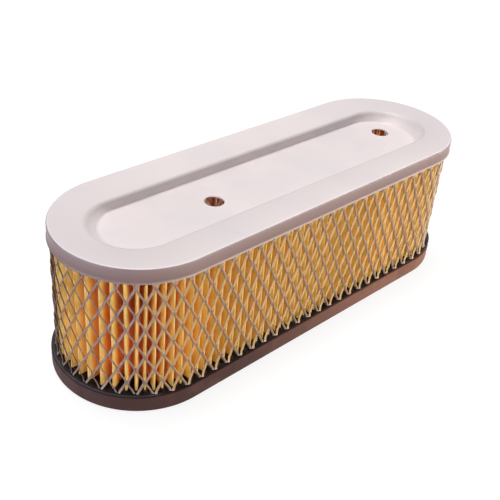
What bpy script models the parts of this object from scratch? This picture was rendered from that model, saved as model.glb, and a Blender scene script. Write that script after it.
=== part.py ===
"""Oblong air-filter cartridge for a small engine, as the pieces it is made of.

Metres, +Z up.  The origin is the middle of the underside of the base, +X runs along the length.
Two outlines carry the whole cartridge: the steel cap's, and the filter pack's inside it.  Both are
oblongs, two straight sides closed by half circles.  The cap sits CAP_SHIFT towards +X on the pack, and its
recess lies RECESS_BACK towards -X and RECESS_SIDE towards -Y of the cap's middle.
"""

import math

import bmesh
import bpy

# Driving dimensions: the whole
HEIGHT = 0.0635
FIT = 0.0003
ARC_STEPS = 16

# Driving dimensions: steel cap
CAP_LENGTH = 0.2056
CAP_WIDTH = 0.0668
CAP_SHIFT = 0.0006
CAP_SHEET = 0.0005
CAP_RIM = 0.0060
CAP_CORNER = 0.0012
CAP_CORNER_STEPS = 3
RECESS_MARGIN = 0.0150
RECESS_END_MARGIN = 0.0144
RECESS_BACK = 0.0008
RECESS_SIDE = 0.0014
RECESS_DEPTH = 0.0045
RECESS_WALL = 0.0030
RECESS_END_WALL = 0.0042
RECESS_STEPS = 8
STUD_HOLE = 0.0079
STUD_HOLE_SIDES = 24
STUD_END = 0.0302
STUD_SPACING = 0.1073
STUD_STAGGER = 0.0015

# Driving dimensions: screens, paper and the clip that closes the paper loop
SCREEN_GAP = 0.0004
SCREEN_SHEET = 0.0006
SCREEN_STRAND = 0.0012
SCREEN_COLUMNS = 48
SCREEN_ROWS = 6
SCREEN_SEAT = 0.0005
CLIP_GAP = 0.0004
CLIP_SHEET = 0.0003
CLIP_REACH = 0.0040
PLEAT_COUNT = 126
PAPER = 0.0004
INNER_SHEET = 0.0006
INNER_STRAND = 0.0014
INNER_COLUMNS = 24
INNER_ROWS = 4
PLUG_GAP = 0.0011

# Driving dimensions: potting compound and base
TOP_POTTING = 0.0030
POTTING_WALL = 0.0005
POTTING_LIP = 0.0008
BEAD_HEIGHT = 0.0005
BEAD_PROUD = 0.0003
BEAD_ROUND = 0.0003
BASE_HEIGHT = 0.0062
BASE_WALL = 0.0010
BASE_FLOOR = 0.0022
BASE_ROUND = 0.0008

# Cap outline, about the cap's own middle
CAP_RADIUS = CAP_WIDTH / 2
CAP_STRAIGHT = CAP_LENGTH / 2 - CAP_RADIUS
RECESS_RADIUS = CAP_RADIUS - RECESS_MARGIN
RECESS_STRAIGHT = CAP_LENGTH / 2 - RECESS_END_MARGIN - RECESS_RADIUS
STUD_FAR = (CAP_LENGTH / 2 - STUD_END, STUD_STAGGER)
STUD_NEAR = (STUD_FAR[0] - STUD_SPACING, -STUD_STAGGER)

# Pack outline: the outer screen clears the inside of the rim at the end that the shift brings close,
# and the inner screen clears the cap's recess, which plugs the pack's open middle
PACK_STRAIGHT = CAP_STRAIGHT - CAP_SHIFT
SCREEN_RADIUS = CAP_RADIUS - CAP_SHEET - SCREEN_GAP
SCREEN_FACE = SCREEN_RADIUS - SCREEN_SHEET
PLEAT_TIP = SCREEN_FACE - CLIP_GAP - CLIP_SHEET - FIT
INNER_FACE = RECESS_RADIUS + PLUG_GAP
INNER_RADIUS = INNER_FACE + INNER_SHEET
PLEAT_ROOT = INNER_RADIUS + FIT

# Base outline: its outer wall stands round the potting, its inner wall inside the potting's lip
BASE_POCKET = SCREEN_RADIUS + FIT + POTTING_WALL + FIT
BASE_RADIUS = BASE_POCKET + BASE_WALL
BASE_HUB = INNER_FACE - FIT - POTTING_LIP - FIT
BASE_OPENING = BASE_HUB - BASE_WALL

# Heights
TOP_POTTING_TOP = HEIGHT - CAP_SHEET - FIT
TOP_POTTING_BOTTOM = TOP_POTTING_TOP - TOP_POTTING
POTTING_FLOOR = BASE_HEIGHT + FIT + BEAD_HEIGHT
PAPER_BOTTOM = POTTING_FLOOR + FIT
PAPER_TOP = TOP_POTTING_BOTTOM - FIT
SCREEN_BOTTOM = POTTING_FLOOR - SCREEN_SEAT
SCREEN_TOP = TOP_POTTING_BOTTOM + SCREEN_SEAT

# Pleats: evenly spaced along the line half way down them
PLEAT_DEPTH = PLEAT_TIP - PLEAT_ROOT
PLEAT_MIDDLE = (PLEAT_TIP + PLEAT_ROOT) / 2

# Frames that an outline can follow: half length of its straight sides, and its middle's place on X and Y
OWN_CAP_FRAME = (CAP_STRAIGHT, 0.0, 0.0)
CAP_FRAME = (CAP_STRAIGHT, CAP_SHIFT, 0.0)
PACK_FRAME = (PACK_STRAIGHT, 0.0, 0.0)


def clear_scene():
    """Remove every object that the scene holds."""
    for item in list(bpy.data.objects):
        bpy.data.objects.remove(item, do_unlink=True)


def finish_material(name, colour, roughness, metallic):
    """A plain finish: linear colour, roughness and metallic value."""
    material = bpy.data.materials.new(name)
    material.use_nodes = True
    shader = material.node_tree.nodes["Principled BSDF"]
    shader.inputs["Base Color"].default_value = (*colour, 1.0)
    shader.inputs["Roughness"].default_value = roughness
    shader.inputs["Metallic"].default_value = metallic
    return material


def add_piece(name, shape, material, parent, smooth_angle=math.radians(30)):
    """Turn a bmesh into a named object under the cartridge's empty."""
    bmesh.ops.recalc_face_normals(shape, faces=shape.faces)
    mesh = bpy.data.meshes.new(name)
    shape.to_mesh(mesh)
    shape.free()
    mesh.shade_smooth()
    mesh.set_sharp_from_angle(angle=smooth_angle)
    piece = bpy.data.objects.new(name, mesh)
    piece.data.materials.append(material)
    piece.parent = parent
    bpy.context.scene.collection.objects.link(piece)
    return piece


def oblong(frame, radius):
    """Corners of an oblong, counter-clockwise from above, with ARC_STEPS segments in each end."""
    straight, middle_x, middle_y = frame
    corners = []
    for end, start in ((1, -math.pi / 2), (-1, math.pi / 2)):
        for step in range(ARC_STEPS + 1):
            angle = start + math.pi * step / ARC_STEPS
            x = middle_x + end * straight + radius * math.cos(angle)
            corners.append((x, middle_y + radius * math.sin(angle)))
    return corners


def perimeter(straight, radius):
    """Length of an oblong's outline."""
    return 4 * straight + 2 * math.pi * radius


def along_oblong(straight, radius, distance):
    """Spine point and outward direction at a distance along an oblong.

    The distance starts at the middle of the +Y side and runs towards -X.  Half a turn maps the
    oblong onto itself, so the second half is the first one turned round.
    """
    half = 2 * straight + math.pi * radius
    turns, part = divmod(distance + straight, half)
    turn = -1 if turns % 2 else 1
    if part <= 2 * straight:
        return turn * (straight - part), (0.0, turn)
    angle = math.pi / 2 + (part - 2 * straight) / radius
    return -turn * straight, (turn * math.cos(angle), turn * math.sin(angle))


def ring_loops(shape, profile):
    """One closed loop of vertices for each (frame, radius, z) of a profile."""
    loops = []
    for frame, radius, z in profile:
        loops.append([shape.verts.new((x, y, z)) for x, y in oblong(frame, radius)])
    return loops


def bridge(shape, first, second):
    """Quads between two loops of equal count."""
    count = len(first)
    for index in range(count):
        after = (index + 1) % count
        shape.faces.new((first[index], first[after], second[after], second[index]))


def ring_solid(profile):
    """A closed ring: a closed profile carried round its oblong."""
    shape = bmesh.new()
    loops = ring_loops(shape, profile)
    for index, loop in enumerate(loops):
        bridge(shape, loop, loops[(index + 1) % len(loops)])
    return shape


def recess_wall(offset, cap_middle):
    """Profile down the recess's S-shaped wall, moved out by an offset along the wall's normal.

    Its radius shrinks evenly while its height falls as half a cosine wave of the squared share, so the
    wall rolls gently off the face and is steep near its foot.  Its straight sides shrink evenly too, so
    it is wider round the ends.  The recess keeps its place on a cap whose middle is at cap_middle on X.
    """
    points = []
    for step in range(RECESS_STEPS + 1):
        share = step / RECESS_STEPS
        straight = RECESS_STRAIGHT - (RECESS_END_WALL - RECESS_WALL) * share
        frame = (straight, cap_middle - RECESS_BACK, -RECESS_SIDE)
        radius = RECESS_RADIUS - RECESS_WALL * share
        turn = math.pi * share * share
        z = HEIGHT - RECESS_DEPTH * (1 - math.cos(turn)) / 2
        slope = RECESS_DEPTH * math.pi * share * math.sin(turn) / RECESS_WALL
        size = math.hypot(1.0, slope)
        points.append((frame, radius + offset * slope / size, z - offset / size))
    return points


def rim_turn(radius):
    """Points of the cap's rounded edge at a radius about the edge's centre, from its top to its side."""
    points = []
    for step in range(CAP_CORNER_STEPS + 1):
        angle = math.pi / 2 * (1 - step / CAP_CORNER_STEPS)
        across = CAP_RADIUS - CAP_CORNER + radius * math.cos(angle)
        points.append((across, HEIGHT - CAP_CORNER + radius * math.sin(angle)))
    return points


def cap_profile():
    """The cap's sheet: from the recess floor over the face and down the rim, then back underneath."""
    rim_bottom = HEIGHT - CAP_RIM
    rim = rim_turn(CAP_CORNER) + [(CAP_RADIUS, rim_bottom), (CAP_RADIUS - CAP_SHEET, rim_bottom)]
    rim += list(reversed(rim_turn(CAP_CORNER - CAP_SHEET)))
    profile = list(reversed(recess_wall(0.0, 0.0)))
    profile += [(OWN_CAP_FRAME, radius, z) for radius, z in rim]
    return profile + recess_wall(CAP_SHEET, 0.0)


def stud_cutter(name, place, parent):
    """A hidden round bar that cuts one stud hole through the recess floor, at its (x, y) in the cap."""
    shape = bmesh.new()
    bmesh.ops.create_cone(shape, cap_ends=True, segments=STUD_HOLE_SIDES, radius1=STUD_HOLE / 2,
                          radius2=STUD_HOLE / 2, depth=RECESS_DEPTH)
    mesh = bpy.data.meshes.new(name)
    shape.to_mesh(mesh)
    shape.free()
    cutter = bpy.data.objects.new(name, mesh)
    cutter.parent = parent
    cutter.location = (*place, HEIGHT - RECESS_DEPTH - CAP_SHEET / 2)
    cutter.hide_render = True
    cutter.display_type = "WIRE"
    bpy.context.scene.collection.objects.link(cutter)
    return cutter


def top_end_cap(parent):
    """Pressed steel cap with a rolled rim, a recessed middle and two stud holes."""
    shape = bmesh.new()
    loops = ring_loops(shape, cap_profile())
    for first, second in zip(loops, loops[1:]):
        bridge(shape, first, second)
    shape.faces.new(loops[0])
    shape.faces.new(list(reversed(loops[-1])))
    steel = finish_material("cap_steel", (0.79, 0.74, 0.74), 0.38, 0.55)
    cap = add_piece("top_end_cap", shape, steel, parent)
    cap.location = (CAP_SHIFT, 0.0, 0.0)
    for name, place in (("near_stud_cutter", STUD_NEAR), ("far_stud_cutter", STUD_FAR)):
        cut = cap.modifiers.new(name, "BOOLEAN")
        cut.operation = "DIFFERENCE"
        cut.solver = "EXACT"
        cut.object = stud_cutter(name, place, cap)
    return cap


def seat_groove(face, bottom, outer, inner):
    """Groove in a potting's face for a screen's edge, from its outer side to its inner side."""
    wide = outer + FIT
    narrow = inner - FIT
    return [(PACK_FRAME, wide, face), (PACK_FRAME, wide, bottom),
            (PACK_FRAME, narrow, bottom), (PACK_FRAME, narrow, face)]


def screen_grooves(face, bottom):
    """The grooves for the outer and the inner screen in one potting's face."""
    outer = seat_groove(face, bottom, SCREEN_RADIUS, SCREEN_FACE)
    return outer + seat_groove(face, bottom, INNER_RADIUS, INNER_FACE)


def top_potting(parent):
    """Bed of potting compound in the cap's channel, with a groove for each screen."""
    outer = CAP_RADIUS - CAP_SHEET - FIT
    corner = CAP_CORNER - CAP_SHEET
    wall = [place for place in recess_wall(CAP_SHEET + FIT, CAP_SHIFT) if place[2] > TOP_POTTING_BOTTOM]
    profile = [(CAP_FRAME, outer - corner, TOP_POTTING_TOP), (CAP_FRAME, outer, TOP_POTTING_TOP - corner),
               (CAP_FRAME, outer, TOP_POTTING_BOTTOM)]
    profile += screen_grooves(TOP_POTTING_BOTTOM, SCREEN_TOP + FIT)
    frame, radius, _ = wall[-1]
    profile += [(frame, radius, TOP_POTTING_BOTTOM)] + list(reversed(wall))
    compound = finish_material("top_compound", (0.030, 0.028, 0.030), 0.55, 0.0)
    return add_piece("top_potting", ring_solid(profile), compound, parent)


def expanded_screen(name, radius, sheet, strand, columns, rows, material, parent):
    """A sleeve of expanded metal: crossing strands round diamond gaps, its wall set inwards.

    Each crossing is a small diamond and each strand a four-cornered strip between two crossings.
    """
    length = perimeter(PACK_STRAIGHT, radius)
    half_wide = length / columns / 2
    half_tall = (SCREEN_TOP - SCREEN_BOTTOM) / rows
    reach = math.hypot(half_wide, half_tall)
    crossing = strand / 2 * reach / (half_wide * half_tall)
    bond_wide = half_wide * crossing
    bond_tall = half_tall * crossing
    levels = [SCREEN_BOTTOM + bond_tall + row * (SCREEN_TOP - SCREEN_BOTTOM - 2 * bond_tall) / rows
              for row in range(rows + 1)]
    shape = bmesh.new()

    def corner(distance, z):
        spine, (along, across) = along_oblong(PACK_STRAIGHT, radius, distance)
        return shape.verts.new((spine + radius * along, radius * across, z))

    bonds = {}
    for row, z in enumerate(levels):
        for column in range(columns):
            distance = (2 * column + row % 2) * half_wide
            west = corner(distance - bond_wide, z)
            east = corner(distance + bond_wide, z)
            south = corner(distance, z - bond_tall)
            north = corner(distance, z + bond_tall)
            bonds[row, 2 * column + row % 2] = (west, south, east, north)
            shape.faces.new((west, south, east, north))
    for (row, place), (west, south, east, north) in bonds.items():
        if row == rows:
            continue
        right = bonds[row + 1, (place + 1) % (2 * columns)]
        left = bonds[row + 1, (place - 1) % (2 * columns)]
        shape.faces.new((east, right[1], right[0], north))
        shape.faces.new((north, left[2], left[1], west))
    sleeve = add_piece(name, shape, material, parent)
    wall = sleeve.modifiers.new("sheet", "SOLIDIFY")
    wall.thickness = sheet
    wall.offset = -1.0
    return sleeve


def pleat_half_pitch():
    """Distance from a tip to the next root along the line half way down the pleats."""
    return perimeter(PACK_STRAIGHT, PLEAT_MIDDLE) / PLEAT_COUNT / 2


def fold_offset():
    """Radial offset between the paper's two faces that leaves PAPER square to its folded walls.

    It solves PAPER = offset * half / hypot(half, depth - offset), with half the half pitch.
    """
    half = pleat_half_pitch()
    square = half ** 2 - PAPER ** 2
    root = math.sqrt((PAPER * PLEAT_DEPTH) ** 2 + square * (half ** 2 + PLEAT_DEPTH ** 2))
    return PAPER * (root - PAPER * PLEAT_DEPTH) / square


def pleated_media(parent):
    """Filter paper folded into a closed loop of pleats, its two ends left open."""
    half = pleat_half_pitch()
    offset = fold_offset()
    shape = bmesh.new()
    outer = []
    inner = []
    for fold in range(2 * PLEAT_COUNT):
        spine, (along, across) = along_oblong(PACK_STRAIGHT, PLEAT_MIDDLE, fold * half)
        is_tip = fold % 2 == 0
        outer_radius = PLEAT_TIP if is_tip else PLEAT_ROOT + offset
        inner_radius = PLEAT_TIP - offset if is_tip else PLEAT_ROOT
        for faces, radius in ((outer, outer_radius), (inner, inner_radius)):
            x = spine + radius * along
            y = radius * across
            faces.append([shape.verts.new((x, y, z)) for z in (PAPER_BOTTOM, PAPER_TOP)])
    for loop in (outer, inner):
        bridge(shape, [pair[0] for pair in loop], [pair[1] for pair in loop])
    for level in (0, 1):
        bridge(shape, [pair[level] for pair in outer], [pair[level] for pair in inner])
    paper = finish_material("filter_paper", (0.56, 0.33, 0.08), 0.85, 0.0)
    return add_piece("pleated_media", shape, paper, parent, smooth_angle=math.radians(10))


def media_seam_clip(parent):
    """Folded strip astride the pleat at the middle of the +Y side, where the paper's ends meet."""
    slope = pleat_half_pitch() / (PLEAT_DEPTH - fold_offset())
    widen = math.hypot(1.0, slope)

    def leg(y, gap):
        return (PLEAT_TIP - y) * slope + gap * widen

    low = PLEAT_TIP - CLIP_REACH
    crest_inside = PLEAT_TIP + FIT
    crest = crest_inside + CLIP_SHEET
    outside = FIT + CLIP_SHEET
    half = [(leg(crest, outside), crest), (leg(low, outside), low),
            (leg(low, FIT), low), (leg(crest_inside, FIT), crest_inside)]
    section = half + [(-x, y) for x, y in reversed(half)]
    shape = bmesh.new()
    face = shape.faces.new([shape.verts.new((x, y, PAPER_BOTTOM)) for x, y in section])
    raised = bmesh.ops.extrude_face_region(shape, geom=[face])
    moved = [item for item in raised["geom"] if isinstance(item, bmesh.types.BMVert)]
    bmesh.ops.translate(shape, verts=moved, vec=(0.0, 0.0, PAPER_TOP - PAPER_BOTTOM))
    steel = finish_material("clip_steel", (0.45, 0.43, 0.42), 0.45, 0.9)
    return add_piece("media_seam_clip", shape, steel, parent)


def bottom_potting(parent):
    """Black potting compound poured in the base: a bead over its wall, a floor, a groove for each screen."""
    side = BASE_POCKET - FIT
    bead = BASE_RADIUS + BEAD_PROUD
    bottom = BASE_FLOOR + FIT
    bead_bottom = BASE_HEIGHT + FIT
    inner_side = BASE_HUB + FIT
    outside = [(side, bottom), (side, bead_bottom), (bead, bead_bottom),
               (bead, POTTING_FLOOR - BEAD_ROUND), (bead - BEAD_ROUND, POTTING_FLOOR)]
    profile = [(PACK_FRAME, radius, z) for radius, z in outside]
    profile += screen_grooves(POTTING_FLOOR, SCREEN_BOTTOM - FIT)
    profile += [(PACK_FRAME, inner_side, POTTING_FLOOR), (PACK_FRAME, inner_side, bottom)]
    compound = finish_material("base_compound", (0.016, 0.016, 0.019), 0.5, 0.0)
    return add_piece("bottom_potting", ring_solid(profile), compound, parent)


def base_gasket(parent):
    """Brown moulded base: a shallow tray round the open middle, whose underside seals."""
    section = [(BASE_OPENING, 0.0), (BASE_RADIUS - BASE_ROUND, 0.0), (BASE_RADIUS, BASE_ROUND),
               (BASE_RADIUS, BASE_HEIGHT), (BASE_POCKET, BASE_HEIGHT), (BASE_POCKET, BASE_FLOOR),
               (BASE_HUB, BASE_FLOOR), (BASE_HUB, BASE_HEIGHT), (BASE_OPENING, BASE_HEIGHT)]
    profile = [(PACK_FRAME, radius, z) for radius, z in section]
    rubber = finish_material("base_rubber", (0.105, 0.050, 0.040), 0.7, 0.0)
    return add_piece("base_gasket", ring_solid(profile), rubber, parent)


def main():
    """Build every piece of the cartridge under one empty."""
    clear_scene()
    cartridge = bpy.data.objects.new("filter_cartridge", None)
    bpy.context.scene.collection.objects.link(cartridge)
    top_end_cap(cartridge)
    top_potting(cartridge)
    outer_steel = finish_material("screen_steel", (0.42, 0.36, 0.37), 0.42, 0.8)
    expanded_screen("outer_screen", SCREEN_RADIUS, SCREEN_SHEET, SCREEN_STRAND, SCREEN_COLUMNS, SCREEN_ROWS,
                    outer_steel, cartridge)
    pleated_media(cartridge)
    media_seam_clip(cartridge)
    inner_steel = finish_material("inner_screen_steel", (0.40, 0.37, 0.37), 0.45, 0.8)
    expanded_screen("inner_screen", INNER_RADIUS, INNER_SHEET, INNER_STRAND, INNER_COLUMNS, INNER_ROWS,
                    inner_steel, cartridge)
    bottom_potting(cartridge)
    base_gasket(cartridge)


if __name__ == "__main__":
    main()
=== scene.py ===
"""Looks of an oblong air-filter cartridge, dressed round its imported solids.

Metres, +Z up, in the part's own frame: the origin is the middle of the underside, +X runs along the length.
Every piece is a surface on a grid: a profile carried round an oblong, or strips and folds laid along one.
A distance along an oblong starts at the middle of the +Y side and runs counter-clockwise seen from above.
"""

import logging
import math
from abc import ABC, abstractmethod
from dataclasses import dataclass, field
from enum import Enum

import bpy
import numpy as np
from mathutils import Matrix, Vector


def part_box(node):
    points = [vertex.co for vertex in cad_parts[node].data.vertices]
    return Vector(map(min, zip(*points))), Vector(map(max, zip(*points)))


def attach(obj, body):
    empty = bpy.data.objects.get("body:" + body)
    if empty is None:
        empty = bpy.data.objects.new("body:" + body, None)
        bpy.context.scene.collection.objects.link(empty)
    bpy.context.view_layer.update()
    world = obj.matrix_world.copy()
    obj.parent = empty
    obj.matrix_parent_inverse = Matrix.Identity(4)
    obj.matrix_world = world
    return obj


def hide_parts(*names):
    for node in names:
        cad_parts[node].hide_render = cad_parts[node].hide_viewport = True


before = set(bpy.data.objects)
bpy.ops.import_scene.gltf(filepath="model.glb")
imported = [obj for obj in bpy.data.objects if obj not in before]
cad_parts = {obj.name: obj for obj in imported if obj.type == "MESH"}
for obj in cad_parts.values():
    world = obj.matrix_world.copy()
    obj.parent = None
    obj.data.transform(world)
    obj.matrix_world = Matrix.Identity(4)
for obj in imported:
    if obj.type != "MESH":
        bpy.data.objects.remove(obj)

Array = np.ndarray
Colour = tuple[float, float, float]
Place = tuple[float, float, float]
Wave = tuple[int, float, float]
Socket = bpy.types.NodeSocket
ORIGIN: Place = (0.0, 0.0, 0.0)
EVEN: Place = (1.0, 1.0, 1.0)
SQUARE = math.pi / 2
COLOUR_A, COLOUR_B, COLOUR_OUT = 6, 7, 2    # a Mix node's sockets for colours
BODY = "root"
SEED = 7
log = logging.getLogger("cartridge")


class Slot(Enum):
    """The record's material slots, one named on each piece."""

    CAP = "cap_steel"
    CAP_COMPOUND = "top_compound"
    SCREEN = "screen_steel"
    PAPER = "filter_paper"
    CLIP = "clip_steel"
    CORE = "inner_screen_steel"
    BASE_COMPOUND = "base_compound"
    BASE = "base_rubber"


class LampKind(Enum):
    """The kinds of lamp in the studio."""

    BROAD = "SUN"
    STRIP = "AREA"
    GLOW = "POINT"


def smooth_step(value: Array) -> Array:
    """Ease a value from 0 to 1: three times its square less twice its cube, clipped outside."""
    share = np.clip(value, 0.0, 1.0)
    return share * share * (3.0 - 2.0 * share)


def bell(value: Array, width: float) -> Array:
    """A bell of height 1: e to the power of minus the square of value over width."""
    return np.exp(-np.square(value / width))


def waves_at(turn: Array, waves: tuple[Wave, ...]) -> Array:
    """Waves round an outline, stacked: each one's height times the sine of count times turn plus phase."""
    return np.stack([height * np.sin(count * turn + phase) for count, height, phase in waves])


def stacked(*parts: Array | float) -> Array:
    """Arrays or numbers, spread to one shape and stacked in a last axis."""
    return np.stack(np.broadcast_arrays(*parts), axis=-1)


def arc(middle: tuple[float, float], radius: float, angle: Array) -> Array:
    """Points on a circle: its middle plus the radius times the angle's cosine and sine."""
    return stacked(middle[0] + radius * np.cos(angle), middle[1] + radius * np.sin(angle))


@dataclass(frozen=True)
class Stations:
    """Places along an oblong: the spine's x and the outward direction at each."""

    spine: Array
    across_x: Array
    across_y: Array

    def points(self, radius: Array, z: Array) -> Array:
        """Points at a radius from the spine along the outward direction, and at a height."""
        return stacked(self.spine + radius * self.across_x, radius * self.across_y, z)


@dataclass(frozen=True)
class Oblong:
    """Two straight sides closed by half circles, about a middle on the X axis."""

    half_straight: float
    middle: float = 0.0

    def perimeter(self, radius: float) -> float:
        """Length of the outline: four half straights and a full circle."""
        return 4 * self.half_straight + 2 * math.pi * radius

    def along(self, distance: Array, reference: float) -> Stations:
        """Stations at distances along the outline at a reference radius.

        Half a turn maps the oblong onto itself.  Within one half, the spine runs back along the straight
        side, then stays at its end while the direction turns by the distance over the radius.

        Args:
            distance: Distances from the middle of the +Y side.
            reference: Radius of the outline that the distances are measured on.

        Returns:
            The stations at those distances.
        """
        straight = 2 * self.half_straight
        turns, part = np.divmod(distance + self.half_straight, straight + math.pi * reference)
        turn = 1 - 2 * np.mod(turns, 2)
        angle = SQUARE + np.maximum(part - straight, 0.0) / reference
        spine = turn * (self.half_straight - np.minimum(part, straight))
        return Stations(self.middle + spine, turn * np.cos(angle), turn * np.sin(angle))

    def even(self, count: int, reference: float) -> Stations:
        """Stations spread evenly along the outline at a reference radius."""
        return self.along(np.arange(count) * self.perimeter(reference) / count, reference)


@dataclass(frozen=True)
class Extent:
    """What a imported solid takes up: its outline, half its width and its heights."""

    outline: Oblong
    radius: float
    bottom: float
    top: float

    @classmethod
    def of(cls, node: str) -> "Extent":
        """Read a node's box, whose width gives the outline's half circles."""
        low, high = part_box(node)
        radius = (high.y - low.y) / 2
        outline = Oblong((high.x - low.x) / 2 - radius, (high.x + low.x) / 2)
        return cls(outline, radius, low.z, high.z)


@dataclass
class Surface:
    """Points, the quads between them and the values that ride on the points."""

    points: Array
    quads: Array
    values: dict[str, Array] = field(default_factory=dict)

    @classmethod
    def grid(cls, points: Array, wrap_rows: bool = False, wrap_columns: bool = False,
             **values: Array) -> "Surface":
        """Quads over a grid of points.

        Args:
            points: The grid, rows by columns by 3.
            wrap_rows: Whether the last row joins the first.
            wrap_columns: Whether the last column joins the first.
            values: Named values on the points, broadcast to rows by columns.

        Returns:
            The surface.
        """
        rows, columns = points.shape[:2]
        row = np.arange(rows - (not wrap_rows))[:, None]
        column = np.arange(columns - (not wrap_columns))
        here, above = row * columns, (row + 1) % rows * columns
        right = (column + 1) % columns
        quads = stacked(here + column, here + right, above + right, above + column)
        spread = {name: np.broadcast_to(value, (rows, columns)).ravel() for name, value in values.items()}
        return cls(points.reshape(-1, 3), quads.reshape(-1, 4), spread)

    @classmethod
    def joined(cls, parts: list["Surface"]) -> "Surface":
        """Several surfaces as one, with their points kept apart."""
        starts = np.cumsum([0] + [len(part.points) for part in parts[:-1]])
        quads = np.concatenate([part.quads + start for part, start in zip(parts, starts)])
        values = {name: np.concatenate([part.values[name] for part in parts]) for name in parts[0].values}
        return cls(np.concatenate([part.points for part in parts]), quads, values)

    @classmethod
    def shell(cls, outside: Array, inside: Array, wrap: bool, **values: Array) -> "Surface":
        """A closed wall between two grids of one shape, with strips along their free edges.

        Args:
            outside: The outer grid, rows by columns by 3.
            inside: The inner grid.
            wrap: Whether the columns close into a loop.
            values: Named values on one grid's points, used on both.

        Returns:
            The closed surface.
        """
        rows = np.concatenate([outside, inside[::-1]])
        spread = {name: np.broadcast_to(value, outside.shape[:2]) for name, value in values.items()}
        doubled = {name: np.concatenate([value, value[::-1]]) for name, value in spread.items()}
        wall = cls.grid(rows, wrap_rows=True, wrap_columns=wrap, **doubled)
        if wrap:
            return wall
        count, columns = outside.shape[:2]
        low = np.arange(count - 1)
        far = 2 * count - 1 - low
        first = stacked(low, low + 1, far - 1, far) * columns
        wall.quads = np.concatenate([wall.quads, first, first[:, ::-1] + columns - 1])
        return wall

    def welded(self, tolerance: float = 1e-7) -> "Surface":
        """The surface with points that fall in one cell of a fine lattice made one."""
        cells = np.round(self.points / tolerance).astype(np.int64)
        _, first, index = np.unique(cells, axis=0, return_index=True, return_inverse=True)
        values = {name: value[first] for name, value in self.values.items()}
        return Surface(self.points[first], index.reshape(-1)[self.quads], values)

    def outward(self) -> "Surface":
        """The surface with its faces turned out, so that its pyramids to the origin add up above zero."""
        corner = self.points[self.quads]
        first = np.cross(corner[:, 1], corner[:, 2])
        second = np.cross(corner[:, 2], corner[:, 3])
        volume = np.einsum("ij,ij->", corner[:, 0], first + second)
        if volume < 0:
            self.quads = self.quads[:, ::-1].copy()
        return self

    def object(self, name: str, material: bpy.types.Material, sharp: float) -> bpy.types.Object:
        """Put the surface in a mesh object at the origin.

        Args:
            name: The object's name.
            material: Its finish.
            sharp: Angle in degrees above which an edge stays sharp.

        Returns:
            The object, linked to the scene.
        """
        mesh = bpy.data.meshes.new(name)
        mesh.from_pydata(self.points.tolist(), [], self.quads.tolist())
        for label, value in self.values.items():
            layer = mesh.attributes.new(label, "FLOAT", "POINT")
            layer.data.foreach_set("value", value.astype(np.float32))
        mesh.materials.append(material)
        mesh.shade_smooth()
        mesh.set_sharp_from_angle(angle=math.radians(sharp))
        mesh.validate()
        piece = bpy.data.objects.new(name, mesh)
        bpy.context.scene.collection.objects.link(piece)
        return piece


def rounded_profile(corners: Array, radii: Array, steps: int) -> Array:
    """A closed outline with each corner replaced by an arc.

    An arc touches both sides at the radius over the tangent of half the corner's angle, about a centre that
    lies on the corner's bisector.

    Args:
        corners: Corner points, count by 2.
        radii: Radius at each corner.
        steps: Points along each arc.

    Returns:
        The outline's points, count times steps by 2.
    """
    before = np.roll(corners, 1, axis=0) - corners
    after = np.roll(corners, -1, axis=0) - corners
    before /= np.linalg.norm(before, axis=1, keepdims=True)
    after /= np.linalg.norm(after, axis=1, keepdims=True)
    half = np.arccos(np.clip(np.sum(before * after, axis=1), -1.0, 1.0)) / 2
    bisector = before + after
    bisector /= np.linalg.norm(bisector, axis=1, keepdims=True)
    centre = corners + bisector * (radii / np.sin(half))[:, None]
    start = corners + before * (radii / np.tan(half))[:, None] - centre
    side = np.sign(before[:, 0] * after[:, 1] - before[:, 1] * after[:, 0])
    sweep = -side * (math.pi - 2 * half)
    angle = np.arctan2(start[:, 1], start[:, 0])[:, None] + sweep[:, None] * np.linspace(0.0, 1.0, steps)
    bent = arc((0.0, 0.0), 1.0, angle) * radii[:, None, None]
    return (centre[:, None, :] + bent).reshape(-1, 2)


def offset_line(line: Array, distance: float) -> Array:
    """An open line moved sideways, along its left-hand normals.

    Args:
        line: Points, count by 2.
        distance: How far the line moves.

    Returns:
        The moved points.
    """
    tangent = np.gradient(line, axis=0)
    tangent /= np.linalg.norm(tangent, axis=1, keepdims=True)
    return line + distance * stacked(-tangent[:, 1], tangent[:, 0])


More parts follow.
